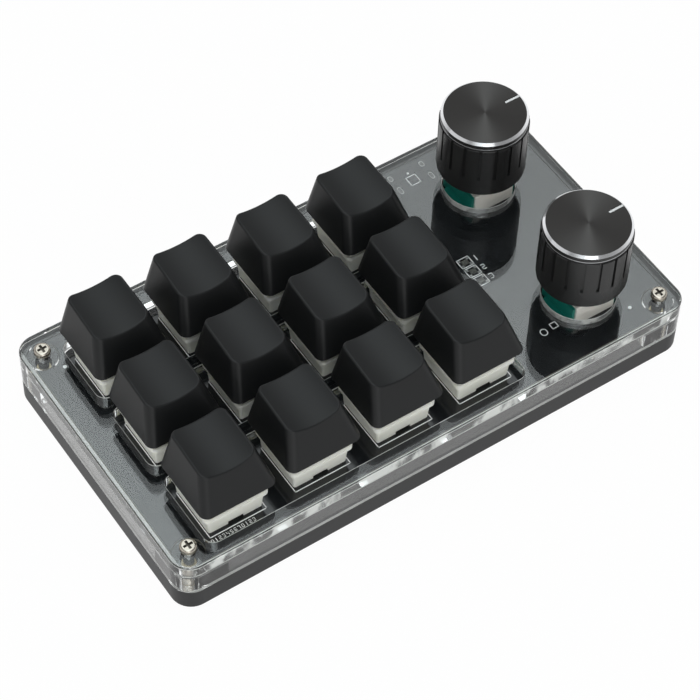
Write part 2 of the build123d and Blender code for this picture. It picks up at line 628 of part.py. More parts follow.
def encoder_shaft():
    """Round shaft with a flattened tang for the rotor below and a flat for the knob above."""
    tip = SHAFT_WELL_FLOOR + PUSH_TRAVEL + ROTOR_GAP
    shoulder = ENCODER_HEIGHT + SHAFT_SHOULDER_GAP
    flat_low = BUSHING_TOP + PUSH_TRAVEL
    shaft = tang_post(TANG_RADIUS, TANG_FLAT, tip, shoulder)
    shaft += post(SHAFT_RADIUS, shoulder, flat_low)
    return shaft + d_post(SHAFT_RADIUS, SHAFT_FLAT, flat_low, SHAFT_TOP)


def knob_outline():
    """Half section of the knob's outside, in the XZ plane."""
    rim_low = KNOB_HEIGHT - (KNOB_RIM_RADIUS - KNOB_FACE_RADIUS)
    ledge = rim_low - KNOB_RIM_BAND
    points = [(0, 0), (KNOB_RADIUS - KNOB_FOOT_BREAK, 0), (KNOB_RADIUS, KNOB_FOOT_BREAK)]
    points += [(KNOB_RADIUS, ledge - LEDGE_BREAK), (KNOB_RADIUS - LEDGE_BREAK, ledge)]
    points += [(KNOB_RADIUS - LEDGE_BREAK - KNOB_LEDGE, ledge)]
    points += [(KNOB_RIM_RADIUS, rim_low), (KNOB_FACE_RADIUS, KNOB_HEIGHT), (0, KNOB_HEIGHT)]
    return points, ledge


def knob():
    """Fluted knob with a bevelled rim, a pointer groove and a flattened bore."""
    points, ledge = knob_outline()
    half = make_face(Plane.XZ * Polyline(*points, close=True))
    body = revolve(half, Axis.Z)
    groove = Box(2 * GROOVE_DEPTH, GROOVE_WIDTH, GROOVE_LENGTH, align=HANGING)
    turns = [Rot(0, 0, GROOVE_START + step * 360 / GROOVE_COUNT) for step in range(GROOVE_COUNT)]
    body -= [turn * Pos(KNOB_RADIUS, 0, ledge) * groove for turn in turns]
    pointer_length = KNOB_FACE_RADIUS - POINTER_INNER_RADIUS
    pointer = Box(pointer_length, POINTER_WIDTH, POINTER_DEPTH, align=TO_RIGHT)
    body -= Pos(POINTER_INNER_RADIUS, 0, KNOB_HEIGHT - POINTER_DEPTH) * pointer
    body -= post(KNOB_RECESS_RADIUS, 0, KNOB_RECESS_DEPTH)
    bore_top = SHAFT_TOP - KNOB_LIFT
    return body - d_post(SHAFT_RADIUS + SHAFT_GAP, SHAFT_FLAT + SHAFT_GAP, KNOB_RECESS_DEPTH, bore_top)


def write(name, shape):
    export_step(shape, "parts/" + name + ".step")


def write_each(name, shape, places, level):
    """One node for each copy of a shape that moves by itself."""
    for number, (x, y) in enumerate(places, start=1):
        write(f"{name}_{number}", Pos(x, y, level) * shape)


os.makedirs("parts", exist_ok=True)
write("top_plate", top_plate())
write("clear_frame", clear_frame())
write("base_shell", base_shell())
write("circuit_board", circuit_board())
write("rubber_feet", rubber_feet())
write("cover_screws", cover_screws())
write("threaded_inserts", threaded_inserts())
write("lead_socket", lead_socket())
write("controller_chip", controller_chip())
write("matrix_diodes", matrix_diodes())
write("key_lights", key_lights())
write("indicator_lights", indicator_lights())
write("contact_pins", contact_pins())
write("switch_lower_housings", copies(switch_lower_housing(), key_places(), BOARD_TOP))
write("switch_upper_housings", copies(switch_upper_housing(), key_places(), BOARD_TOP))
write("encoder_bases", copies(encoder_base(), knob_places(), BOARD_TOP))
write("encoder_brackets", copies(encoder_bracket(), knob_places(), BOARD_TOP))
write("encoder_bushings", copies(encoder_bushing(), knob_places(), BOARD_TOP))
write_each("key_spring", key_spring(), key_places(), BOARD_TOP)
write_each("key_stem", key_stem(), key_places(), BOARD_TOP)
write_each("key_cap", key_cap(), key_places(), BOARD_TOP + CAP_RIM_LEVEL)
write_each("encoder_rotor", encoder_rotor(), knob_places(), BOARD_TOP)
write_each("encoder_shaft", encoder_shaft(), knob_places(), BOARD_TOP)
write_each("knob", knob(), knob_places(), BOARD_TOP + KNOB_LIFT)
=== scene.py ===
"""Looks of the macro keypad: finishes for its solids, the print on its board and a plain white stage."""
import math

import bmesh
import bpy
from bpy.props import FloatProperty, FloatVectorProperty, PointerProperty
from mathutils import Matrix, Vector


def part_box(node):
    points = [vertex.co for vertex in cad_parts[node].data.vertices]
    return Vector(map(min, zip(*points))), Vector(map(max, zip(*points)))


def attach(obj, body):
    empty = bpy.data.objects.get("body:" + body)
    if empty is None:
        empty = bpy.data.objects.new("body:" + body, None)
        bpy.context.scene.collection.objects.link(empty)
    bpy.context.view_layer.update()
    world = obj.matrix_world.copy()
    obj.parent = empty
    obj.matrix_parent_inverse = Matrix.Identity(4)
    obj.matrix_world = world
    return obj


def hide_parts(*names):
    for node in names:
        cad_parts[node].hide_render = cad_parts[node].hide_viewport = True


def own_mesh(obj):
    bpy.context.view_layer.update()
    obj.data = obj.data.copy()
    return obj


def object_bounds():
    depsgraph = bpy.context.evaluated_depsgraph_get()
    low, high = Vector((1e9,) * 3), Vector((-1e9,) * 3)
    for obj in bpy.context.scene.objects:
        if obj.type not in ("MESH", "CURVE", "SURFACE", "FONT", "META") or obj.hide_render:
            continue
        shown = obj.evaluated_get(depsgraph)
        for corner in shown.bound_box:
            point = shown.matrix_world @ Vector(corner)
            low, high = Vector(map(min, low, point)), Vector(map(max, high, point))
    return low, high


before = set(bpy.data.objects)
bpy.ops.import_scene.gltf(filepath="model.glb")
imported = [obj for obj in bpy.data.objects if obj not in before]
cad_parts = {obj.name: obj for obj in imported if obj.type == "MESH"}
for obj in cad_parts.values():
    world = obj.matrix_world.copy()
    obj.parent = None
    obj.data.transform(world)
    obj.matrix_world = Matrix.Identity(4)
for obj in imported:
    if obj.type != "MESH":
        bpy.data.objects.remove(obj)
CAD_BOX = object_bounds()
MM = 0.001
FULL_TURN = 2 * math.pi
UPWARD = Vector((0, 0, 1))
WHITE = (1, 1, 1)

# Pieces that repeat.
KEY_COUNT = 12
ROW_KEYS = 4
KNOB_COUNT = 2

# Noise: its detail, and how it is drawn out along the axes.
SOFT_DETAIL = 2.0
GRAIN_DETAIL = 3.0
SCRATCH_DETAIL = 4.0
EVEN = (1, 1, 1)
DRAWN_ALONG_X = (0.2, 1, 1)
DRAWN_ALONG_Z = (1, 1, 0.2)
SAW_STRETCH = (1, 1, 0.08)
PATCH_STRETCH = (1, 1, 0.5)
STREAK_STRETCH = (0.3, 0.3, 1)
WEAVE_STRETCH = (0.2, 0.2, 1)

# Masks: the width of the step at an edge, and when a face counts as level.
SOFT_EDGE = 0.1 * MM
SHARP_EDGE = 0.05 * MM
FINE_EDGE = 0.02 * MM
LEVEL_FROM = 0.6
LEVEL_SOFT = 0.3

# Moulded plastic. A grain is the size of its lumps and their depth.
PLASTIC_IOR = 1.5
CLOUD_SIZE = 9 * MM
CLOUD_SHADES = (0.9, 1.1)
GLOSS_OFFSET = 0.05
GLOSS_SPREAD = 0.06
BASE_GRAIN = (0.35 * MM, 0.012 * MM)
RUBBER_GRAIN = (0.25 * MM, 0.02 * MM)
INK_GRAIN = (0.08 * MM, 0.004 * MM)
SWITCH_GRAIN = (0.5 * MM, 0.006 * MM)
CAP_GRAIN = (0.20 * MM, 0.004 * MM)
ENCODER_GRAIN = (0.4 * MM, 0.006 * MM)
CHIP_GRAIN = (0.15 * MM, 0.01 * MM)
LIGHT_GRAIN = (0.5 * MM, 0.004 * MM)
MILKY_WEIGHT = 0.25
MILKY_RADIUS = (1.0, 1.0, 0.8)

# Metal.
DULL_SIZE = 4 * MM
METAL_SHADES = (0.85, 1.05)
SCRATCH_SPREAD = 0.12
DULL_SPREAD = 0.06
SCRATCH_DEPTH = 0.004 * MM
COARSE_SCRATCH = 0.3 * MM
DRAWN_SCRATCH = 0.25 * MM
FINE_SCRATCH = 0.2 * MM
TINNED_METALLIC = 0.35

# Clear acrylic. Painted light is pale matt colour on parts of the near cut faces and on the frame's near
# top strips. It stands for light that they catch and carry, and partly for the frost of the cut. Each
# share of it is given where the noise is low and where it is high.
ACRYLIC_IOR = 1.49
SAW_SIZE = 0.5 * MM
SAW_DEPTH = 0.0015 * MM
SAW_ROUGHNESS = (0.01, 0.04)
PATCH_SIZE = 5 * MM
PATCH_LEVEL = 0.5
PATCH_SOFT = 0.16
STREAK_SIZE = 3 * MM
FRONT_PAINTED_LIGHT = (0.08, 0.80)
HOLE_PAINTED_LIGHT = (0.2, 0.7)
STREAK_PAINTED_LIGHT = (0.6, 1.0)
LEFT_PAINTED_LIGHT = 0.5
PAINTED_LIGHT_ROUGHNESS = 0.4

# Board.
LACQUER_CLOUD = 6 * MM
LACQUER_SHADES = (0.85, 1.15)
LACQUER_ROUGHNESS = (0.09, 0.11)
WEAVE_SIZE = 0.25 * MM
FIBRE_SHADES = (0.7, 1.2)
FIBRE_ROUGHNESS = 0.45

# Numbers on the board, as shares of their height, and the two rows of them at the front.
DIGIT_WIDTH = 0.55
DIGIT_STROKE = 0.19
DIGIT_STEP = 1.15
DIGIT_KINDS = 8
ROW_COUNT = 2
ROW_DIGITS = 12
ROW_SHIFT = 3

# Marks on the board: places from a corner, a knob or the back edge, and sizes.
OUTLINE_JOG = 1.1 * MM
DIGIT_ASIDE = (2.8 * MM, -0.1 * MM)
DOT_RADIUS = 0.45 * MM
BACK_DOT = (5.7 * MM, 8.3 * MM)
FRONT_DOT = (9.4 * MM, 5.3 * MM)
RING_PLACE = (-12.7 * MM, -4.4 * MM)
RING_SIZE = (1.3 * MM, 1.5 * MM)
SQUARE_PLACE = (-9.7 * MM, -4.0 * MM)
SQUARE_SIZE = (1.5 * MM, 1.5 * MM)
SOCKET_FRAME_INSET = 5.0 * MM
SOCKET_FRAME_SIZE = (2.5 * MM, 2.6 * MM)
SOCKET_DOT_INSET = 2.7 * MM
SOCKET_DOT_RADIUS = 0.3 * MM

# Tinned pads: the socket's tabs, the indicator lights and the switches' pins.
TAB_REACH = 4.32 * MM
TAB_INSETS = (2.0 * MM, 6.1 * MM)
TAB_SIZES = ((0.75 * MM, 1.3 * MM), (0.75 * MM, 1.8 * MM))
LIGHT_PAD_REACH = (1.05 * MM, 0.8 * MM)
LIGHT_PAD_SIZE = (0.55 * MM, 0.6 * MM)
PIN_PLACES = ((-3.81 * MM, 2.54 * MM), (2.54 * MM, 5.08 * MM))
PIN_SIZE = (1.55 * MM, 1.6 * MM)

# Screws.
PLATING_SHADES = (0.85, 1.1)
SCREW_ROUGHNESS = (0.2, 0.3)
# Painted shade: how dark the cross recess is painted.
PAINTED_RECESS_SHADE = 0.35
RECESS_ROUGHNESS = 0.3
THREAD_DEPTH = 0.12 * MM
PLATING_RELIEF = 0.05

# Wound springs.
COIL_TURNS = 6
COIL_STEPS = 16
COIL_SIDES = 8
COIL_FLAT_END = 0.75

# Knobs.
BRUSHED = 0.95
BRUSHED_ROUND = 0.25
SKIN_SHADES = (0.85, 1.15)
SKIN_GRAIN = 0.25 * MM
SKIN_SPREAD = 0.04
# Painted highlight: share of bare aluminium on the knobs' ledge.
LEDGE_HIGHLIGHT_SHARE = 0.5
RING_DEPTH = 0.003 * MM
FACE_DULLER = 0.22
BEVEL_SHINIER = 0.08
POINTER_DULLER = 0.2

# Stage: the world's heights are sines of the elevation.
SENSOR_WIDTH = 36.0
CLIP_NEAR = 0.01
CLIP_FAR = 20.0
FLOOR_REACH = 2.5
FLOOR_ROUGHNESS = 0.9
FLOOR_WHITE = 0.97
LAMP_DISTANCE = 1.1
LEFT_LAMP = (-0.78, 0.20, 0.60)
LEFT_LAMP_WIDTH = 0.8
FRONT_LAMP = (-0.35, -0.85, 0.40)
FRONT_LAMP_WIDTH = 0.5
WALL_TOP = 0.32
WALL_SOFT = 0.4
CEILING_DIM = 0.74
SOFTBOX_FROM = 0.72
SOFTBOX_SOFT = 0.46
SOFTBOX_HALF = 0.27
SOFTBOX_SIDE_SOFT = 0.34
SOFTBOX_ACROSS = Vector((0.816, -0.578))
SOFTBOX_TINT = (0.90, 0.98, 1.0)

bl_info = {
    "name": "Macro keypad looks",
    "version": (1, 0, 0),
    "blender": (4, 5, 0),
    "location": "View3D > Sidebar > Keypad",
    "description": "Finishes, board print and stage for a macro keypad with twelve keys and two knobs",
    "category": "Object",
}


def colour(name, description, value):
    """Property for a colour of one finish."""
    return FloatVectorProperty(
        name=name, description=description, subtype="COLOR", default=value, min=0, max=1,
    )


def length(name, description, value):
    """Property for a length in metres."""
    return FloatProperty(name=name, description=description, default=value, unit="LENGTH", precision=5)


def fraction(name, description, value):
    """Property for a share between 0 and 1."""
    return FloatProperty(name=name, description=description, default=value, subtype="FACTOR", min=0, max=1)


def strength(name, description, value):
    """Property for the strength of a light."""
    return FloatProperty(name=name, description=description, default=value, min=0)


def angle(name, description, degrees):
    """Property for an angle, given in degrees."""
    value = math.radians(degrees)
    return FloatProperty(name=name, description=description, default=value, subtype="ANGLE")


class KeypadColours(bpy.types.PropertyGroup):
    """Colours of the finishes."""

    acrylic: colour("Acrylic", "Tint of the clear plate", (0.97, 0.985, 0.98))
    spacer: colour("Spacer", "Tint of the clear frame", (0.90, 0.91, 0.90))
    # Painted light: pale matt colour on the acrylic's near cut faces and strips, partly the frost of the
    # cut.
    painted_edge_light: colour("Cut edge", "Pale bloom on the acrylic", (0.80, 0.81, 0.78))
    # Painted shade: dark matt colour on the frame's far sides.
    painted_far_shade: colour("Dim edge", "Dull bloom on the frame's far sides", (0.02, 0.02, 0.02))
    base: colour("Base", "Black of the moulded base", (0.016, 0.016, 0.017))
    board: colour("Board", "Black lacquer of the circuit board", (0.010, 0.011, 0.012))
    fibre: colour("Fibre", "Bare glass fibre on the edge of the board", (0.11, 0.105, 0.085))
    print_ink: colour("Print", "White ink on the board", (0.93, 0.94, 0.94))
    solder: colour("Solder", "Tinned copper", (0.36, 0.36, 0.35))
    cap: colour("Key cap", "Black of the key caps", (0.0085, 0.0090, 0.0094))
    switch: colour("Switch", "Milky plastic of the switch housings", (0.94, 0.94, 0.84))
    stem: colour("Stem", "Plastic of the switch stems", (0.62, 0.64, 0.66))
    spring: colour("Spring", "Steel of the return springs", (0.55, 0.54, 0.52))
    encoder: colour("Encoder", "Green plastic of the encoders", (0.004, 0.16, 0.125))
    rotor: colour("Rotor", "Dark plastic of the encoder rotors", (0.05, 0.05, 0.055))
    steel: colour("Steel", "Tinned steel sheet", (0.90, 0.88, 0.82))
    socket: colour("Socket", "Dull plated shell of the lead socket", (0.16, 0.16, 0.16))
    zinc: colour("Zinc", "Cast bushings", (0.50, 0.50, 0.51))
    nickel: colour("Nickel", "Plated screws", (0.50, 0.46, 0.40))
    brass: colour("Brass", "Threaded inserts", (0.52, 0.43, 0.27))
    aluminium: colour("Aluminium", "Bare cut aluminium", (0.83, 0.84, 0.86))
    anodised: colour("Anodised", "Black skin of the knobs", (0.014, 0.014, 0.014))
    turned_face: colour("Turned face", "Dark metal of the knobs' faces", (0.073, 0.070, 0.068))
    pointer: colour("Pointer", "White line on the knobs", (0.92, 0.92, 0.92))
    rubber: colour("Rubber", "Feet", (0.015, 0.015, 0.015))
    chip: colour("Chip", "Moulded body of the chip and diodes", (0.020, 0.020, 0.021))
    light: colour("Light", "Milky windows of the lights", (0.78, 0.77, 0.68))
    smoky: colour("Smoky light", "Windows of the indicator lights", (0.10, 0.10, 0.09))
    floor: colour("Floor", "Plain pale floor", (0.86, 0.86, 0.86))


class KeypadGloss(bpy.types.PropertyGroup):
    """Roughness of the finishes, and the shine of the black ones."""

    base: fraction("Base", "Roughness of the base", 0.45)
    base_shine: fraction("Base shine", "Mirror light of the base", 0.25)
    rubber: fraction("Rubber", "Roughness of the feet", 0.75)
    print_ink: fraction("Print", "Roughness of the ink", 0.5)
    pads: fraction("Pads", "Roughness of the tinned pads", 0.25)
    brass: fraction("Brass", "Roughness of the inserts", 0.3)
    switch: fraction("Switch", "Roughness of the switch housings", 0.34)
    stem: fraction("Stem", "Roughness of the switch stems", 0.32)
    spring: fraction("Spring", "Roughness of the springs and pins", 0.25)
    cap: fraction("Key cap", "Roughness of the key caps", 0.40)
    cap_shine: fraction("Key cap shine", "Mirror light of the key caps", 0.27)
    encoder: fraction("Encoder", "Roughness of the green plastic", 0.3)
    bracket: fraction("Bracket", "Roughness of the steel brackets", 0.42)
    bushing: fraction("Bushing", "Roughness of the bushings", 0.3)
    rotor: fraction("Rotor", "Roughness of the rotors", 0.4)
    shaft: fraction("Shaft", "Roughness of the shafts", 0.25)
    knob: fraction("Knob", "Roughness of the knobs' skin", 0.24)
    knob_shine: fraction("Knob shine", "Mirror light of the knobs' skin", 0.36)
    socket: fraction("Socket", "Roughness of the lead socket", 0.35)
    chip: fraction("Chip", "Roughness of the chip and diodes", 0.5)
    light: fraction("Light", "Roughness of the lights", 0.25)


class KeypadSizes(bpy.types.PropertyGroup):
    """Sizes of the printed marks and of the fine surface detail."""

    print_width: length("Print line", "Width of the printed lines", 0.23 * MM)
    print_height: length("Print height", "Thickness of the ink", 0.02 * MM)
    outline_half: length("Outline half", "Half width of the outline round a switch", 6.9 * MM)
    outline_front: length("Outline front", "Reach of the outline in front of a switch", 7.6 * MM)
    pad_ring: length("Pad ring", "Width of the tinned ring round a hole", 0.22 * MM)
    indicator_pitch: length("Indicator pitch", "From one indicator light to the next", 3.05 * MM)
    indicator_width: length("Indicator width", "Width of the box round an indicator light", 3.05 * MM)
    indicator_depth: length("Indicator depth", "Depth of the box round an indicator light", 2.6 * MM)
    digit_height: length("Digit height", "Height of the numbers beside the lights", 1.3 * MM)
    row_digit_height: length("Row digit height", "Height of the numbers in the rows", 0.8 * MM)
    row_inset: length("Row inset", "From the outline to the first row of numbers", 1.0 * MM)
    row_pitch: length("Row pitch", "From one row of numbers to the next", 1.7 * MM)
    # Painted highlight: the pale line along the top of the plate's near edges.
    lip_highlight_height: length("Edge lip", "Height of the pale line on the plate's near edges", 0.4 * MM)
    lip_highlight_stop: length("Lip stop", "Where the pale line ends before the far edges", 1.0 * MM)
    hole_radius: length("Hole radius", "Radius that takes in the walls of the knob holes", 8.8 * MM)
    # Painted light on the frame's near sides, painted shade on its far sides.
    painted_light_strip: length("Pale strip", "Width of the pale strip on the frame's near sides", 1.55 * MM)
    painted_shade_strip: length("Dim strip", "Width of the dull strip on the frame's far sides", 1.6 * MM)
    clear_skin: length("Clear skin", "Outer layer of the far sides that stays clear", 0.3 * MM)
    milky_depth: length("Milky depth", "How deep light goes into the switch housings", 1.2 * MM)
    spring_wire: length("Spring wire", "Thickness of the return springs' wire", 0.45 * MM)
    key_travel: length("Key travel", "How far a key goes down", 3.8 * MM)
    head_radius: length("Head radius", "Radius of a screw's head", 1.85 * MM)
    recess_radius: length("Recess radius", "Radius of a screw's cross recess", 1.15 * MM)
    # Painted shade: the cross recess is painted dark below this depth.
    recess_from: length("Recess from", "Depth from which the recess is dark", 0.12 * MM)
    thread_pitch: length("Thread pitch", "Pitch of the screw thread", 0.4 * MM)
    face_radius: length("Face radius", "Radius of a knob's flat face", 9.3 * MM)
    face_depth: length("Face depth", "Depth that takes in a knob's face", 0.35 * MM)
    face_rings: length("Face rings", "Pitch of the turned rings on a knob's face", 0.30 * MM)
    bevel_height: length("Bevel height", "Height of the bright bevel round the face", 0.56 * MM)
    pointer_start: length("Pointer start", "Where the pointer starts from the axis", 5.5 * MM)
    pointer_half: length("Pointer half", "Half width of the pointer", 0.34 * MM)
    pointer_from: length("Pointer from", "Depth from which the pointer is white", 0.1 * MM)
    # Painted highlight: the ledge band below the bevel is painted pale.
    ledge_low: length("Ledge low", "Depth of the pale ledge's lower edge", 1.74 * MM)
    ledge_high: length("Ledge high", "Depth of the pale ledge's upper edge", 1.54 * MM)
    ledge_radius: length("Ledge radius", "Radius outside which the ledge is pale", 9.84 * MM)


class KeypadStage(bpy.types.PropertyGroup):
    """Camera and lights."""

    azimuth: angle("Azimuth", "Turn of the camera round the keypad", -35.32)
    elevation: angle("Elevation", "Rise of the camera over the floor", 52.48)
    roll: angle("Roll", "Lean of the camera", 1.94)
    distance: length("Distance", "From the camera to its target", 548.04 * MM)
    target_x: length("Target X", "Point that the camera looks at", -7.595 * MM)
    target_y: length("Target Y", "Point that the camera looks at", -9.515 * MM)
    target_z: length("Target Z", "Point that the camera looks at", 21.25 * MM)
    lens: FloatProperty(name="Lens", description="Focal length", default=132.07, unit="CAMERA")
    left_light: strength("Left light", "Radiance of the panel on the left", 0.35)
    front_light: strength("Front light", "Radiance of the panel in front", 2.4)
    softbox: strength("Softbox", "Strength of the long light overhead", 2.2)


class KeypadLooks(bpy.types.PropertyGroup):
    """Everything that a user would change."""

    colours: PointerProperty(type=KeypadColours)
    gloss: PointerProperty(type=KeypadGloss)
    sizes: PointerProperty(type=KeypadSizes)
    stage: PointerProperty(type=KeypadStage)


def colours():
    return bpy.context.scene.keypad_looks.colours


def gloss():
    return bpy.context.scene.keypad_looks.gloss


def sizes():
    return bpy.context.scene.keypad_looks.sizes


def stage():
    return bpy.context.scene.keypad_looks.stage


class Wire:
    """A shader value that takes part in Python expressions."""

    def __init__(self, finish, socket):
        self.finish = finish
        self.socket = socket

    def _with(self, operation, first, second=0.0):
        return self.finish.node("ShaderNodeMath", {"operation": operation}, {0: first, 1: second})

    def __add__(self, other):
        return self._with("ADD", self, other)

    def __radd__(self, other):
        return self._with("ADD", other, self)

    def __sub__(self, other):
        return self._with("SUBTRACT", self, other)

    def __rsub__(self, other):
        return self._with("SUBTRACT", other, self)

    def __mul__(self, other):
        return self._with("MULTIPLY", self, other)

    def __rmul__(self, other):
        return self._with("MULTIPLY", other, self)

    def __pow__(self, other):
        return self._with("POWER", self, other)

    def __abs__(self):
        return self._with("ABSOLUTE", self)

    def most(self, other):
        """The greater of two values."""
        return self._with("MAXIMUM", self, other)

    def ranged(self, low, high):
        """Goes from low to high as the value goes from 0 to 1."""
        return low + (high - low) * self

    def wave(self, pitch):
        """Goes from 0 to 1 and back in each pitch."""
        return 0.5 + 0.5 * self._with("SINE", self * (FULL_TURN / pitch))

    def above(self, edge, soft):
        """0 below the edge, 1 above it, with a smooth step of that width."""
        settings = {"interpolation_type": "SMOOTHSTEP"}
        ends = {"Value": self, "From Min": edge - soft / 2, "From Max": edge + soft / 2}
        return self.finish.node("ShaderNodeMapRange", settings, ends)

    def below(self, edge, soft):
        return 1 - self.above(edge, soft)


def span(dx, dy):
    """Length of a step on the plan."""
    return (dx * dx + dy * dy) ** 0.5


class Finish:
    """One material: its constants are set on the shader, and its nodes come from expressions."""

    def __init__(self, name, constants):
        self.material = bpy.data.materials.new(name)
        self.material.use_nodes = True
        self.tree = self.material.node_tree
        self.tree.nodes.clear()
        self.output = self.tree.nodes.new("ShaderNodeOutputMaterial")
        self.shader = self.tree.nodes.new("ShaderNodeBsdfPrincipled")
        self.tree.links.new(self.shader.outputs[0], self.output.inputs["Surface"])
        self.set(constants)

    def node(self, kind, settings, inputs, output=0):
        """Any node: its settings first, then the values or links of its sockets."""
        made = self.tree.nodes.new(kind)
        for label, value in settings.items():
            setattr(made, label, value)
        for label, value in inputs.items():
            self.feed(made.inputs[label], value)
        return Wire(self, made.outputs[output])

    def feed(self, socket, value):
        """Links a socket, or sets it to a number, a vector or a colour."""
        if isinstance(value, Wire):
            self.tree.links.new(value.socket, socket)
        elif isinstance(value, (int, float)):
            socket.default_value = value
        elif len(value) == 3 and len(socket.default_value) == 4:
            socket.default_value = (*value, 1.0)
        else:
            socket.default_value = tuple(value)

    def set(self, inputs):
        for label, value in inputs.items():
            self.feed(self.shader.inputs[label], value)

    def surface(self):
        """The finish's own shader, for a Mix Shader."""
        return Wire(self, self.shader.outputs[0])

    def ray(self, kind):
        """1 on rays of that kind."""
        return self.node("ShaderNodeLightPath", {}, {}, f"Is {kind} Ray")

    def parts(self, vector):
        return [self.node("ShaderNodeSeparateXYZ", {}, {0: vector}, axis) for axis in ("X", "Y", "Z")]

    def place(self):
        """Place on the object, in metres."""
        return self.node("ShaderNodeTexCoord", {}, {}, "Object")

    def axes(self):
        return self.parts(self.place())

    def facing(self):
        """Vertical part of the surface's own direction."""
        normal = self.node("ShaderNodeNewGeometry", {}, {}, "True Normal")
        return self.node("ShaderNodeSeparateXYZ", {}, {0: normal}, "Z")

    def upright(self):
        """1 on upright faces."""
        return abs(self.facing()).below(LEVEL_FROM, LEVEL_SOFT)

    def top(self):
        """1 on faces that look up."""
        return self.facing().above(LEVEL_FROM, LEVEL_SOFT)

    def noise(self, size, detail=SOFT_DETAIL, stretch=EVEN):
        """Soft noise between 0 and 1 whose lumps are about that size in metres."""
        scale = tuple(axis / size for axis in stretch)
        settings = {"operation": "MULTIPLY"}
        point = self.node("ShaderNodeVectorMath", settings, {0: self.place(), 1: scale})
        return self.node("ShaderNodeTexNoise", {}, {"Vector": point, "Scale": 1.0, "Detail": detail})

    def blend(self, share, first, second):
        """Colour that goes from the first to the second as the share grows."""
        settings = {"data_type": "RGBA"}
        return self.node("ShaderNodeMix", settings, {0: share, 6: first, 7: second}, 2)

    def shades(self, share, tone, ends):
        """Colour that goes from a darker to a lighter shade of the tone."""
        return self.blend(share, shade(tone, ends[0]), shade(tone, ends[1]))

    def relief(self, height, depth):
        """Normal for a height between 0 and 1 of that depth in metres."""
        return self.node("ShaderNodeBump", {}, {"Height": height, "Distance": depth, "Strength": 1.0})


class Surround(Finish):
    """Nodes of the world, made in the same way as those of a finish."""

    def __init__(self, world):
        world.use_nodes = True
        self.tree = world.node_tree
        self.tree.nodes.clear()
        self.output = self.tree.nodes.new("ShaderNodeOutputWorld")


def shade(tone, factor):
    """A colour made lighter or darker."""
    return tuple(min(1.0, part * factor) for part in tone)


def dress(finish, *names):
    """Gives solids their finish."""
    for name in names:
        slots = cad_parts[name].data.materials
        slots.clear()
        slots.append(finish.material)


def numbered(name, count):
    return [f"{name}_{number}" for number in range(1, count + 1)]


def centre(name):
    low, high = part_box(name)
    return (low + high) / 2


def moulded(name, tone, roughness, grain):
    """Moulded plastic with a fine grain and a slightly uneven gloss."""
    size, depth = grain
    finish = Finish(name, {"IOR": PLASTIC_IOR})
    cloud = finish.noise(CLOUD_SIZE)
    fine = finish.noise(size, GRAIN_DETAIL)
    finish.set({
        "Base Color": finish.shades(cloud, tone, CLOUD_SHADES),
        "Roughness": roughness - GLOSS_OFFSET + GLOSS_SPREAD * cloud + GLOSS_SPREAD * fine,
        "Normal": finish.relief(fine, depth),
    })
    return finish


def metal(name, tone, roughness, scratch, stretch=EVEN):
    """Plated or bare metal with fine scratches."""
    finish = Finish(name, {"Metallic": 1.0})
    fine = finish.noise(scratch, SCRATCH_DETAIL, stretch)
    dull = finish.noise(DULL_SIZE)
    finish.set({
        "Base Color": finish.shades(dull, tone, METAL_SHADES),
        "Roughness": roughness + SCRATCH_SPREAD * fine + DULL_SPREAD * dull,
        "Normal": finish.relief(fine, SCRATCH_DEPTH),
    })
    return finish


def mesh_object(name, mesh, finish):
    """Object in the scene from a mesh that is then freed."""
    data = bpy.data.meshes.new(name)
    mesh.to_mesh(data)
    mesh.free()
    data.materials.append(finish.material)
    made = bpy.data.objects.new(name, data)
    bpy.context.scene.collection.objects.link(made)
    return made


class Strips:
    """Flat printed shapes that lie on the board, gathered into one mesh."""

    def __init__(self, level, height):
        self.mesh = bmesh.new()
        self.low = level
        self.high = level + height

    def prism(self, outline):
        """Upright prism over a convex outline of points on the plan."""
        low = [self.mesh.verts.new((x, y, self.low)) for x, y in outline]
        high = [self.mesh.verts.new((x, y, self.high)) for x, y in outline]
        self.mesh.faces.new(high)
        self.mesh.faces.new(list(reversed(low)))
        for i in range(len(outline)):
            j = (i + 1) % len(outline)
            self.mesh.faces.new((low[i], low[j], high[j], high[i]))

    def line(self, start, end, width):
        """Straight line of that width, with square ends."""
        start = Vector(start)
        end = Vector(end)
        along = (end - start).normalized() * (width / 2)
        across = Vector((-along.y, along.x))
        a = start - along
        b = end + along
        self.prism([a - across, b - across, b + across, a + across])

    def path(self, points, width, closed=True):
        count = len(points) if closed else len(points) - 1
        for i in range(count):
            self.line(points[i], points[(i + 1) % len(points)], width)

    def corners(self, x, y, size):
        across = size[0] / 2
        deep = size[1] / 2
        left = x - across
        right = x + across
        return [(left, y - deep), (right, y - deep), (right, y + deep), (left, y + deep)]

    def box(self, x, y, size):
        self.prism(self.corners(x, y, size))

    def frame(self, x, y, size, width):
        self.path(self.corners(x, y, size), width)

    def disc(self, x, y, radius, steps=24):
        turns = [FULL_TURN * i / steps for i in range(steps)]
        self.prism([(x + radius * math.cos(t), y + radius * math.sin(t)) for t in turns])

    def oval(self, x, y, size, width, steps=32):
        """Ring round an upright slot with round ends."""
        across, deep = size
        radius = across / 2
        straight = (deep - across) / 2
        points = []
        for i in range(steps):
            t = FULL_TURN * (i + 0.5) / steps
            shift = math.copysign(straight, math.sin(t))
            points.append((x + radius * math.cos(t), y + shift + radius * math.sin(t)))
        for i in range(steps):
            self.ring_part(points[i], points[(i + 1) % steps], (x, y), width)

    def ring_part(self, first, second, middle, width):
        """Part of a ring that lies outside two points round its middle."""
        outer = []
        for point in (first, second):
            away = Vector(point) - Vector(middle)
            outer.append(Vector(point) + away.normalized() * width)
        self.prism([first, outer[0], outer[1], second])

    def piece(self, name, finish):
        bmesh.ops.recalc_face_normals(self.mesh, faces=self.mesh.faces)
        made = mesh_object(name, self.mesh, finish)
        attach(made, "case")


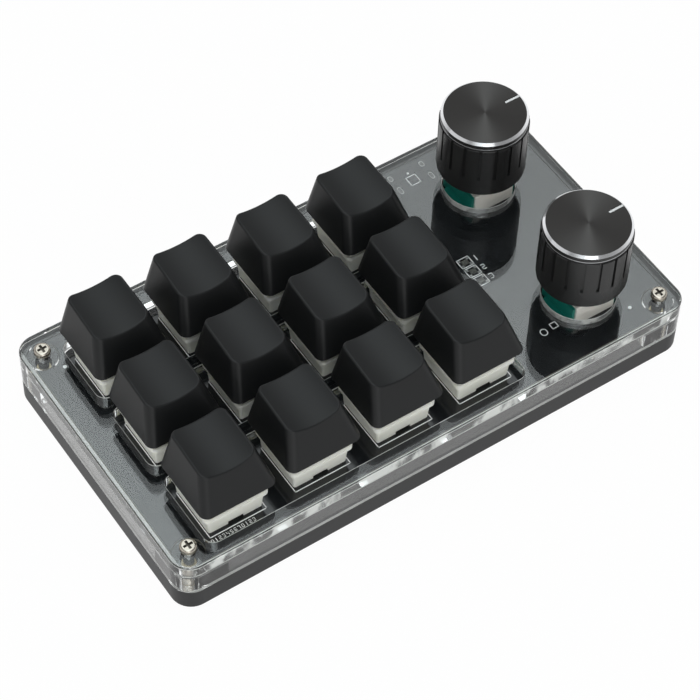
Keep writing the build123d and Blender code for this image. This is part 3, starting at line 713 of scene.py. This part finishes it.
class KEYPAD_OT_clear_layers(bpy.types.Operator):
    """Gives the plate and the frame their clear cut acrylic"""

    bl_idname = "keypad.clear_layers"
    bl_label = "Clear layers"

    def execute(self, context):
        self.plate()
        self.spacer()
        return {"FINISHED"}

    def plate(self):
        """Painted light on the cut faces: pale patches on the front edge and on the hole walls, partly the
        frost of the cut, and a painted highlight line along the top of the near edges.
        """
        finish = self.acrylic("plate_acrylic", colours().acrylic)
        low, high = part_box("top_plate")
        x, y, z = finish.axes()
        noise = finish.noise(PATCH_SIZE, SCRATCH_DETAIL, PATCH_STRETCH)
        patches = noise.above(PATCH_LEVEL, PATCH_SOFT)
        upright = finish.upright()
        near = 1 - self.far_sides(x, y, high, sizes().lip_highlight_stop)
        # Painted highlight: a pale line along the top of the upright faces, but not on the far sides.
        lip_highlight = upright * near * z.above(high.z - sizes().lip_highlight_height, SHARP_EDGE)
        front = y.below(low.y + SOFT_EDGE, SOFT_EDGE)
        # Painted light: pale patches on the front cut face, partly the frost of the cut.
        pale = lip_highlight.most(front * patches.ranged(*FRONT_PAINTED_LIGHT))
        for name in numbered("knob", KNOB_COUNT):
            axis = centre(name)
            inside = span(x - axis.x, y - axis.y).below(sizes().hole_radius, SOFT_EDGE)
            # Pale patches on the walls of the knob holes, partly the frost of the cut and partly painted
            # light.
            pale = pale.most(upright * inside * patches.ranged(*HOLE_PAINTED_LIGHT))
        self.paint_light_and_shade(finish, pale, colours().painted_edge_light)
        dress(finish, "top_plate")

    def spacer(self):
        """Painted light in pale strips on the near sides' tops, painted shade in dark strips on the far
        sides.
        """
        finish = self.acrylic("frame_acrylic", colours().spacer)
        low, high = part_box("clear_frame")
        x, y, _ = finish.axes()
        # Painted light: pale strips on the tops of the near sides, the left one at half strength.
        left = x.below(low.x + sizes().painted_light_strip, SOFT_EDGE)
        front = y.below(low.y + sizes().painted_light_strip, SOFT_EDGE)
        streaks = finish.noise(STREAK_SIZE, SOFT_DETAIL, STREAK_STRETCH)
        pale = front.most(LEFT_PAINTED_LIGHT * left) * streaks.ranged(*STREAK_PAINTED_LIGHT)
        # Painted shade: the far sides are painted dark, all but their outer skin.
        far = self.far_sides(x, y, high, sizes().painted_shade_strip)
        skin = self.far_sides(x, y, high, sizes().clear_skin)
        top = finish.top()
        painted_light_share = (top * pale).most(far * top.most(1 - skin))
        # Pale painted light on the near sides, dark painted shade on the far sides.
        tone = finish.blend(far, colours().painted_edge_light, colours().painted_far_shade)
        self.paint_light_and_shade(finish, painted_light_share, tone)
        dress(finish, "clear_frame")

    def far_sides(self, x, y, corner, reach):
        """1 within that reach of the right and the back side."""
        return x.above(corner.x - reach, SOFT_EDGE).most(y.above(corner.y - reach, SOFT_EDGE))

    def acrylic(self, name, tint):
        """Polished faces, and cut edges with faint saw marks."""
        finish = Finish(name, {"Transmission Weight": 1.0, "IOR": ACRYLIC_IOR, "Base Color": tint})
        saw = finish.noise(SAW_SIZE, SOFT_DETAIL, SAW_STRETCH)
        edge = finish.upright()
        finish.set({
            "Roughness": edge * saw.ranged(*SAW_ROUGHNESS),
            "Normal": finish.relief(edge * saw, SAW_DEPTH),
        })
        return finish

    def paint_light_and_shade(self, finish, painted_light_share, tone):
        """Paints a matt colour over that share of the surface as painted light and shade, and lets light
        pass straight through.
        """
        inputs = {"Base Color": tone, "Roughness": PAINTED_LIGHT_ROUGHNESS}
        painted_matt = finish.node("ShaderNodeBsdfPrincipled", {}, inputs)
        surface = finish.node("ShaderNodeMixShader", {}, {0: painted_light_share, 1: finish.surface(), 2: painted_matt})
        passing = finish.node("ShaderNodeBsdfTransparent", {}, {})
        mixed = finish.node("ShaderNodeMixShader", {}, {0: finish.ray("Shadow"), 1: surface, 2: passing})
        finish.feed(finish.output.inputs["Surface"], mixed)


class KEYPAD_OT_base(bpy.types.Operator):
    """Gives the base its moulded black and the feet their rubber"""

    bl_idname = "keypad.base"
    bl_label = "Base and feet"

    def execute(self, context):
        shell = moulded("base_plastic", colours().base, gloss().base, BASE_GRAIN)
        shell.set({"Specular IOR Level": gloss().base_shine})
        dress(shell, "base_shell")
        dress(moulded("foot_rubber", colours().rubber, gloss().rubber, RUBBER_GRAIN), "rubber_feet")
        return {"FINISHED"}


class KEYPAD_OT_board(bpy.types.Operator):
    """Gives the board its lacquer, printed lines and tinned pads"""

    bl_idname = "keypad.board"
    bl_label = "Circuit board"

    def execute(self, context):
        self.lacquer()
        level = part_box("circuit_board")[1].z
        self.ink(level)
        self.pads(level)
        return {"FINISHED"}

    def lacquer(self):
        finish = Finish("board_laminate", {"IOR": PLASTIC_IOR})
        cloud = finish.noise(LACQUER_CLOUD)
        edge = finish.upright()
        weave = finish.noise(WEAVE_SIZE, SOFT_DETAIL, WEAVE_STRETCH)
        fibre = finish.shades(weave, colours().fibre, FIBRE_SHADES)
        lacquer = finish.shades(cloud, colours().board, LACQUER_SHADES)
        finish.set({
            "Base Color": finish.blend(edge, lacquer, fibre),
            "Roughness": cloud.ranged(*LACQUER_ROUGHNESS) + FIBRE_ROUGHNESS * edge,
        })
        dress(finish, "circuit_board")

    def ink(self, level):
        strips = Strips(level, sizes().print_height)
        width = sizes().print_width
        for name in numbered("key_stem", KEY_COUNT):
            self.outline(strips, centre(name), width)
        size = (sizes().indicator_width, sizes().indicator_depth)
        for number, (x, y) in enumerate(indicator_places(), start=1):
            strips.frame(x, y, size, width)
            self.digit(strips, number, x + DIGIT_ASIDE[0], y + DIGIT_ASIDE[1], sizes().digit_height)
        self.number_rows(strips)
        self.marks(strips, width)
        finish = moulded("print_ink", colours().print_ink, gloss().print_ink, INK_GRAIN)
        strips.piece("board_print", finish)

    def outline(self, strips, middle, width):
        """Outline round a switch, with a small step at its back left corner."""
        left = middle.x - sizes().outline_half
        right = middle.x + sizes().outline_half
        front = middle.y - sizes().outline_front
        back = middle.y + sizes().outline_half
        step = left + OUTLINE_JOG
        points = [(left, front), (right, front), (right, back), (step, back)]
        points += [(step, back - OUTLINE_JOG), (left, back - OUTLINE_JOG)]
        strips.path(points, width)

    def digit(self, strips, number, x, y, tall):
        """Plain upright number made of straight strokes."""
        wide = tall * DIGIT_WIDTH
        left = x - wide / 2
        right = x + wide / 2
        low = y - tall / 2
        high = y + tall / 2
        strokes = {
            0: [(left, low), (right, low), (right, high), (left, high), (left, low)],
            1: [(x, low), (x, high)],
            2: [(left, high), (right, high), (right, y), (left, y), (left, low), (right, low)],
            3: [(left, high), (right, high), (right, y), (left, y), (right, y), (right, low), (left, low)],
            4: [(left, high), (left, y), (right, y), (right, high), (right, low)],
            5: [(right, high), (left, high), (left, y), (right, y), (right, low), (left, low)],
            6: [(right, high), (left, high), (left, low), (right, low), (right, y), (left, y)],
            7: [(left, high), (right, high), (right, low)],
        }
        strips.path(strokes[number], tall * DIGIT_STROKE, closed=False)

    def number_rows(self, strips):
        """Rows of plain numbers in front of the first key of the front row."""
        key = centre(f"key_stem_{KEY_COUNT - ROW_KEYS + 1}")
        tall = sizes().row_digit_height
        left = key.x - sizes().outline_half
        first = key.y - sizes().outline_front - sizes().row_inset
        for row in range(ROW_COUNT):
            y = first - row * sizes().row_pitch
            for place in range(ROW_DIGITS):
                number = (place + ROW_SHIFT * row) % DIGIT_KINDS
                self.digit(strips, number, left + place * tall * DIGIT_STEP, y, tall)

    def marks(self, strips, width):
        """Small marks: dots at two corners, a ring and a square by a knob, a square by the socket."""
        low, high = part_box("circuit_board")
        strips.disc(low.x + BACK_DOT[0], high.y - BACK_DOT[1], DOT_RADIUS)
        strips.disc(high.x - FRONT_DOT[0], low.y + FRONT_DOT[1], DOT_RADIUS)
        knob = centre(f"knob_{KNOB_COUNT}")
        strips.oval(knob.x + RING_PLACE[0], knob.y + RING_PLACE[1], RING_SIZE, width)
        strips.frame(knob.x + SQUARE_PLACE[0], knob.y + SQUARE_PLACE[1], SQUARE_SIZE, width)
        socket = centre("lead_socket")
        strips.frame(socket.x, high.y - SOCKET_FRAME_INSET, SOCKET_FRAME_SIZE, width)
        strips.disc(socket.x, high.y - SOCKET_DOT_INSET, SOCKET_DOT_RADIUS)

    def pads(self, level):
        strips = Strips(level, sizes().print_height)
        ring = sizes().pad_ring
        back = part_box("circuit_board")[1].y
        socket = centre("lead_socket")
        for x in (socket.x - TAB_REACH, socket.x + TAB_REACH):
            for inset, size in zip(TAB_INSETS, TAB_SIZES):
                strips.oval(x, back - inset, size, ring)
        reach_x, reach_y = LIGHT_PAD_REACH
        for x, y in indicator_places():
            for dx in (-reach_x, reach_x):
                for dy in (-reach_y, reach_y):
                    strips.box(x + dx, y + dy, LIGHT_PAD_SIZE)
        for name in numbered("key_stem", KEY_COUNT):
            x, y, _ = centre(name)
            for dx, dy in PIN_PLACES:
                strips.oval(x + dx, y + dy, PIN_SIZE, ring)
        finish = metal("tinned_pads", colours().solder, gloss().pads, COARSE_SCRATCH)
        strips.piece("solder_pads", finish)


def indicator_places():
    """Plan centres of the indicator lights, back one first."""
    x, y, _ = centre("indicator_lights")
    return [(x, y + step * sizes().indicator_pitch) for step in (1, 0, -1)]


class KEYPAD_OT_fasteners(bpy.types.Operator):
    """Gives the screws their plating and thread, and the inserts their brass"""

    bl_idname = "keypad.fasteners"
    bl_label = "Screws and inserts"

    def execute(self, context):
        dress(self.plated(), "cover_screws")
        dress(metal("insert_brass", colours().brass, gloss().brass, COARSE_SCRATCH), "threaded_inserts")
        return {"FINISHED"}

    def plated(self):
        """Bright heads with painted shade darkening the cross, and a thread in relief below the plate's
        top.
        """
        finish = Finish("nickel_steel", {"Metallic": 1.0})
        tone = colours().nickel
        x, y, z = finish.axes()
        low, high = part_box("cover_screws")
        middle = (low + high) / 2
        axis = (high - low) / 2 - Vector((1, 1, 0)) * sizes().head_radius
        radius = span(abs(x - middle.x) - axis.x, abs(y - middle.y) - axis.y)
        head = z.above(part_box("top_plate")[1].z, SHARP_EDGE)
        cross = radius.below(sizes().recess_radius, SOFT_EDGE)
        # Painted shade: the cross recess is painted darker than the head.
        recess = head * cross * z.below(high.z - sizes().recess_from, SOFT_EDGE)
        fine = finish.noise(COARSE_SCRATCH, GRAIN_DETAIL)
        plating = finish.shades(fine, tone, PLATING_SHADES)
        thread = (1 - head) * z.wave(sizes().thread_pitch)
        finish.set({
            "Base Color": finish.blend(recess, plating, shade(tone, PAINTED_RECESS_SHADE)),
            "Roughness": fine.ranged(*SCREW_ROUGHNESS) + RECESS_ROUGHNESS * recess,
            "Normal": finish.relief(thread + PLATING_RELIEF * fine, THREAD_DEPTH),
        })
        return finish


class KEYPAD_OT_switches(bpy.types.Operator):
    """Gives the switches, stems, springs and pins their finishes"""

    bl_idname = "keypad.switches"
    bl_label = "Key switches"

    def execute(self, context):
        housing = moulded("switch_plastic", colours().switch, gloss().switch, SWITCH_GRAIN)
        housing.set({
            "Subsurface Weight": MILKY_WEIGHT,
            "Subsurface Radius": MILKY_RADIUS,
            "Subsurface Scale": sizes().milky_depth,
        })
        dress(housing, "switch_lower_housings", "switch_upper_housings")
        stem = moulded("stem_plastic", colours().stem, gloss().stem, SWITCH_GRAIN)
        dress(stem, *numbered("key_stem", KEY_COUNT))
        steel = metal("spring_steel", colours().spring, gloss().spring, FINE_SCRATCH)
        dress(steel, *numbered("key_spring", KEY_COUNT))
        for number in range(1, KEY_COUNT + 1):
            self.coil(number, steel)
        dress(metal("pin_steel", colours().solder, gloss().spring, FINE_SCRATCH), "contact_pins")
        return {"FINISHED"}

    def coil(self, number, finish):
        """Wound spring that stands for its sleeve."""
        sleeve = f"key_spring_{number}"
        low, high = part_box(sleeve)
        wire = sizes().spring_wire
        middle = (low + high) / 2
        radius = (high.x - low.x - wire) / 2
        mesh = bmesh.new()
        rings = []
        for step in range(COIL_TURNS * COIL_STEPS + 1):
            turn = step / COIL_STEPS
            risen = min(1, max(0, (turn - COIL_FLAT_END) / (COIL_TURNS - 2 * COIL_FLAT_END)))
            height = low.z + wire / 2 + risen * (high.z - low.z - wire)
            out = Vector((math.cos(FULL_TURN * turn), math.sin(FULL_TURN * turn), 0))
            heart = Vector((middle.x, middle.y, height)) + out * radius
            rings.append(self.ring(mesh, heart, out, wire / 2))
        for first, second in zip(rings, rings[1:]):
            for i in range(COIL_SIDES):
                j = (i + 1) % COIL_SIDES
                mesh.faces.new((first[i], first[j], second[j], second[i])).smooth = True
        mesh.faces.new(list(reversed(rings[0])))
        mesh.faces.new(rings[-1])
        bmesh.ops.recalc_face_normals(mesh, faces=mesh.faces)
        made = mesh_object(f"key_coil_{number}", mesh, finish)
        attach(made, "case")
        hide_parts(sleeve)
        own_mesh(made)

    def ring(self, mesh, heart, out, radius):
        """Corners of the wire's section round one point of its middle line."""
        corners = []
        for side in range(COIL_SIDES):
            turn = FULL_TURN * side / COIL_SIDES
            away = math.cos(turn) * out + math.sin(turn) * UPWARD
            corners.append(mesh.verts.new(heart + radius * away))
        return corners


class KEYPAD_OT_key_caps(bpy.types.Operator):
    """Gives the key caps their matt black"""

    bl_idname = "keypad.key_caps"
    bl_label = "Key caps"

    def execute(self, context):
        finish = moulded("cap_plastic", colours().cap, gloss().cap, CAP_GRAIN)
        finish.set({"Specular IOR Level": gloss().cap_shine})
        dress(finish, *numbered("key_cap", KEY_COUNT))
        return {"FINISHED"}


class KEYPAD_OT_encoders(bpy.types.Operator):
    """Gives the encoders their green plastic, steel and zinc"""

    bl_idname = "keypad.encoders"
    bl_label = "Encoders"

    def execute(self, context):
        plastic = moulded("encoder_plastic", colours().encoder, gloss().encoder, ENCODER_GRAIN)
        dress(plastic, "encoder_bases")
        bracket = metal("bracket_steel", colours().steel, gloss().bracket, DRAWN_SCRATCH, DRAWN_ALONG_X)
        bracket.set({"Metallic": TINNED_METALLIC})
        dress(bracket, "encoder_brackets")
        dress(metal("bushing_zinc", colours().zinc, gloss().bushing, COARSE_SCRATCH), "encoder_bushings")
        rotor = moulded("rotor_plastic", colours().rotor, gloss().rotor, ENCODER_GRAIN)
        dress(rotor, *numbered("encoder_rotor", KNOB_COUNT))
        shaft = metal("shaft_aluminium", colours().aluminium, gloss().shaft, DRAWN_SCRATCH, DRAWN_ALONG_Z)
        dress(shaft, *numbered("encoder_shaft", KNOB_COUNT))
        return {"FINISHED"}


class KEYPAD_OT_knobs(bpy.types.Operator):
    """Gives each knob its turned face, bright rim and white pointer"""

    bl_idname = "keypad.knobs"
    bl_label = "Knobs"

    def execute(self, context):
        for name in numbered("knob", KNOB_COUNT):
            dress(self.anodised(name), name)
        return {"FINISHED"}

    def anodised(self, name):
        """Black skin, a face with turned rings, a bright bevel, a pale ledge below it painted as a
        highlight and the pointer.
        """
        low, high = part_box(name)
        middle = (low + high) / 2
        finish = Finish(f"{name}_anodised", {
            "Anisotropic": BRUSHED,
            "Anisotropic Rotation": BRUSHED_ROUND,
            "Specular IOR Level": gloss().knob_shine,
        })
        x, y, z = finish.axes()
        dx = x - middle.x
        dy = y - middle.y
        radius = span(dx, dy)
        inside = radius.below(sizes().face_radius, SHARP_EDGE)
        face = inside * z.above(high.z - sizes().face_depth, FINE_EDGE)
        bevel = (1 - inside) * z.above(high.z - sizes().bevel_height, FINE_EDGE)
        line = dx.above(sizes().pointer_start, FINE_EDGE) * abs(dy).below(sizes().pointer_half, FINE_EDGE)
        pointer = face * line * z.below(high.z - sizes().pointer_from, SHARP_EDGE)
        # Painted highlight: a pale band of bare aluminium, at part strength, on the ledge below the bevel.
        outside = radius.above(sizes().ledge_radius, FINE_EDGE)
        band = z.above(high.z - sizes().ledge_low, FINE_EDGE)
        ledge = outside * band * z.below(high.z - sizes().ledge_high, FINE_EDGE)
        bright = bevel + LEDGE_HIGHLIGHT_SHARE * ledge
        grain = finish.noise(SKIN_GRAIN, GRAIN_DETAIL)
        skin = finish.shades(grain, colours().anodised, SKIN_SHADES)
        turned = finish.blend(face, skin, colours().turned_face)
        bare_and_highlight = finish.blend(bright, turned, colours().aluminium)
        roughness = gloss().knob + FACE_DULLER * face - BEVEL_SHINIER * bevel + SKIN_SPREAD * grain
        rings = radius.wave(sizes().face_rings) * face
        finish.set({
            "Base Color": finish.blend(pointer, bare_and_highlight, colours().pointer),
            "Metallic": (face + bright) * (1 - pointer),
            "Roughness": roughness + POINTER_DULLER * pointer,
            "Normal": finish.relief(rings * (1 - pointer), RING_DEPTH),
        })
        return finish


class KEYPAD_OT_small_parts(bpy.types.Operator):
    """Gives the lead socket, the chip, the diodes and the lights their finishes"""

    bl_idname = "keypad.small_parts"
    bl_label = "Small parts"

    def execute(self, context):
        dress(metal("socket_steel", colours().socket, gloss().socket, COARSE_SCRATCH), "lead_socket")
        chip = moulded("chip_plastic", colours().chip, gloss().chip, CHIP_GRAIN)
        dress(chip, "controller_chip", "matrix_diodes")
        dress(moulded("light_plastic", colours().light, gloss().light, LIGHT_GRAIN), "key_lights")
        dress(moulded("smoky_light", colours().smoky, gloss().light, LIGHT_GRAIN), "indicator_lights")
        return {"FINISHED"}


class KEYPAD_OT_stage(bpy.types.Operator):
    """Puts the keypad on a pale floor under soft light, with a camera"""

    bl_idname = "keypad.stage"
    bl_label = "Stage"

    def execute(self, context):
        self.floor()
        self.world(context.scene)
        self.lamp("soft_left", LEFT_LAMP, LEFT_LAMP_WIDTH, stage().left_light)
        self.lamp("soft_front", FRONT_LAMP, FRONT_LAMP_WIDTH, stage().front_light)
        self.camera(context.scene)
        context.scene.view_settings.view_transform = "Standard"
        return {"FINISHED"}

    def floor(self):
        """Pale floor that looks nearly white to the camera, with a faint shadow."""
        finish = Finish("pale_floor", {
            "Roughness": FLOOR_ROUGHNESS,
            "Specular IOR Level": 0.0,
            "Base Color": colours().floor,
        })
        white = finish.node("ShaderNodeEmission", {}, {"Color": WHITE, "Strength": 1.0})
        seen = finish.ray("Camera") + finish.ray("Glossy") + finish.ray("Transmission")
        inputs = {0: seen * FLOOR_WHITE, 1: finish.surface(), 2: white}
        mixed = finish.node("ShaderNodeMixShader", {}, inputs)
        finish.feed(finish.output.inputs["Surface"], mixed)
        mesh = bmesh.new()
        bmesh.ops.create_grid(mesh, x_segments=2, y_segments=2, size=FLOOR_REACH)
        made = mesh_object("floor", mesh, finish)

    def world(self, scene):
        """White walls, a dim ceiling with a long soft light, plain white past the floor's end."""
        world = bpy.data.worlds.new("white_surround")
        scene.world = world
        surround = Surround(world)
        unseen = 1 - surround.ray("Camera")
        direction = surround.node("ShaderNodeTexCoord", {}, {}, "Generated")
        x, y, z = surround.parts(direction)
        ceiling = z.above(WALL_TOP, WALL_SOFT) * unseen
        sideways = abs(x * SOFTBOX_ACROSS.x + y * SOFTBOX_ACROSS.y)
        middle = sideways.below(SOFTBOX_HALF, SOFTBOX_SIDE_SOFT)
        softbox = z.above(SOFTBOX_FROM, SOFTBOX_SOFT) * middle * unseen
        power = 1 - CEILING_DIM * ceiling + stage().softbox * softbox
        tint = surround.blend(softbox, WHITE, SOFTBOX_TINT)
        light = surround.node("ShaderNodeBackground", {}, {"Color": tint, "Strength": power})
        surround.feed(surround.output.inputs["Surface"], light)

    def lamp(self, name, direction, width, radiance):
        """Soft square panel that shines at the middle of the keypad."""
        data = bpy.data.lights.new(name, "AREA")
        data.shape = "RECTANGLE"
        data.size = width
        data.size_y = width
        data.energy = radiance * math.pi * width * width
        made = bpy.data.objects.new(name, data)
        away = Vector(direction).normalized()
        middle = (CAD_BOX[0] + CAD_BOX[1]) / 2
        made.location = middle + away * LAMP_DISTANCE
        made.rotation_euler = away.to_track_quat("Z", "Y").to_euler()
        bpy.context.scene.collection.objects.link(made)

    def camera(self, scene):
        """Camera that looks down at the keypad from its front left."""
        data = bpy.data.cameras.new("photo_camera")
        data.sensor_width = SENSOR_WIDTH
        data.lens = stage().lens
        data.clip_start = CLIP_NEAR
        data.clip_end = CLIP_FAR
        azimuth = stage().azimuth
        level = Vector((math.sin(azimuth), -math.cos(azimuth), 0))
        back = level * math.cos(stage().elevation) + UPWARD * math.sin(stage().elevation)
        right = UPWARD.cross(back).normalized()
        up = back.cross(right)
        roll = stage().roll
        tilted_right = math.cos(roll) * right + math.sin(roll) * up
        tilted_up = math.cos(roll) * up - math.sin(roll) * right
        target = Vector((stage().target_x, stage().target_y, stage().target_z))
        place = Matrix((tilted_right, tilted_up, back)).transposed().to_4x4()
        place.translation = target + back * stage().distance
        made = bpy.data.objects.new("photo_camera", data)
        made.matrix_world = place
        scene.collection.objects.link(made)
        scene.camera = made


class KEYPAD_PT_looks(bpy.types.Panel):
    """Lists the steps and the values that they use"""

    bl_label = "Keypad"
    bl_idname = "KEYPAD_PT_looks"
    bl_space_type = "VIEW_3D"
    bl_region_type = "UI"
    bl_category = "Keypad"

    def draw(self, context):
        looks = context.scene.keypad_looks
        for step in STEPS:
            self.layout.operator(step.bl_idname)
        for group in (looks.colours, looks.gloss, looks.sizes, looks.stage):
            for label in group.bl_rna.properties.keys():
                if label not in ("rna_type", "name"):
                    self.layout.prop(group, label)


STEPS = (
    KEYPAD_OT_clear_layers,
    KEYPAD_OT_base,
    KEYPAD_OT_board,
    KEYPAD_OT_fasteners,
    KEYPAD_OT_switches,
    KEYPAD_OT_key_caps,
    KEYPAD_OT_encoders,
    KEYPAD_OT_knobs,
    KEYPAD_OT_small_parts,
    KEYPAD_OT_stage,
)
GROUPS = (KeypadColours, KeypadGloss, KeypadSizes, KeypadStage, KeypadLooks)
CLASSES = (*GROUPS, *STEPS, KEYPAD_PT_looks)


def register():
    for item in CLASSES:
        bpy.utils.register_class(item)
    bpy.types.Scene.keypad_looks = PointerProperty(type=KeypadLooks)


def unregister():
    del bpy.types.Scene.keypad_looks
    for item in reversed(CLASSES):
        bpy.utils.unregister_class(item)


def main():
    register()
    bpy.ops.keypad.clear_layers()
    bpy.ops.keypad.base()
    bpy.ops.keypad.board()
    bpy.ops.keypad.fasteners()
    bpy.ops.keypad.switches()
    bpy.ops.keypad.key_caps()
    bpy.ops.keypad.encoders()
    bpy.ops.keypad.knobs()
    bpy.ops.keypad.small_parts()
    bpy.ops.keypad.stage()


if __name__ == "__main__":
    main()
